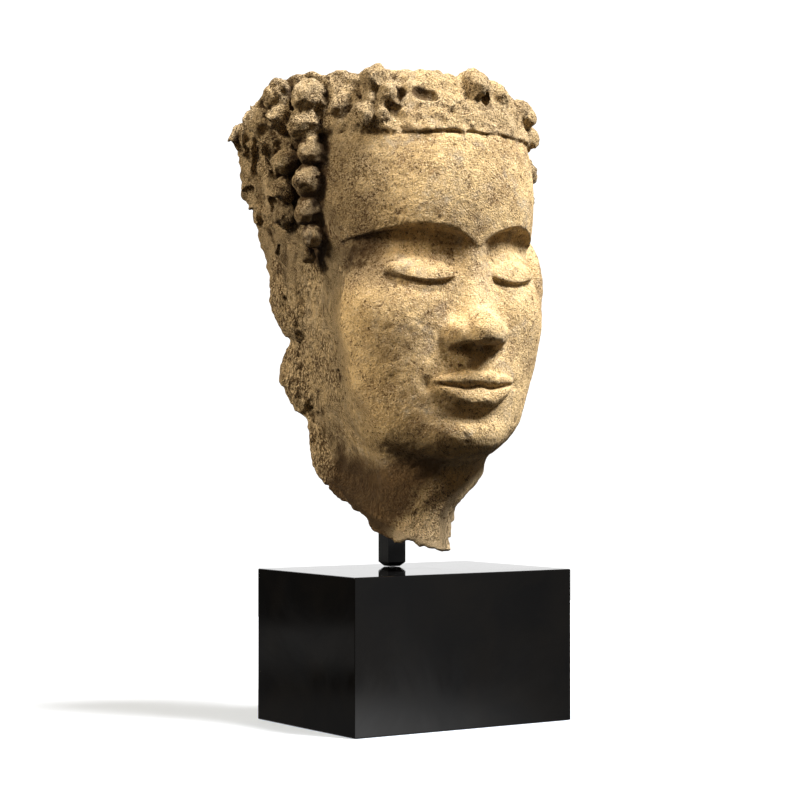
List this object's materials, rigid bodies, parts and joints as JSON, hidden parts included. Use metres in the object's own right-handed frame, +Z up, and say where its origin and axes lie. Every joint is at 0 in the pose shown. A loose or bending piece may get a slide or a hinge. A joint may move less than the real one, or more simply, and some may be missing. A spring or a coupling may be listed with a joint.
{
  "type": "stucco buddha head on a stand",
  "caption": "Broken stucco head with closed eyes and knobbed hair, held up by a square black bar on a polished black rectangular block",
  "frame": {"origin": "middle of the block's underside", "axes": "+Z up, X along the block's longer side, -Y the side that the head faces, and the head is turned 4 degrees towards -X"},
  "size_m": [0.2238, 0.1794, 0.4252],
  "materials": {
    "ochre_stucco": "rough, pitted, with stains and loose grain",
    "black_painted_steel": "satin black paint",
    "polished_black_stone": "high polish"
  },
  "bodies": {
    "root": {"stucco_head": "ochre_stucco", "bar": "black_painted_steel", "block": "polished_black_stone"}
  },
  "joints": []
}
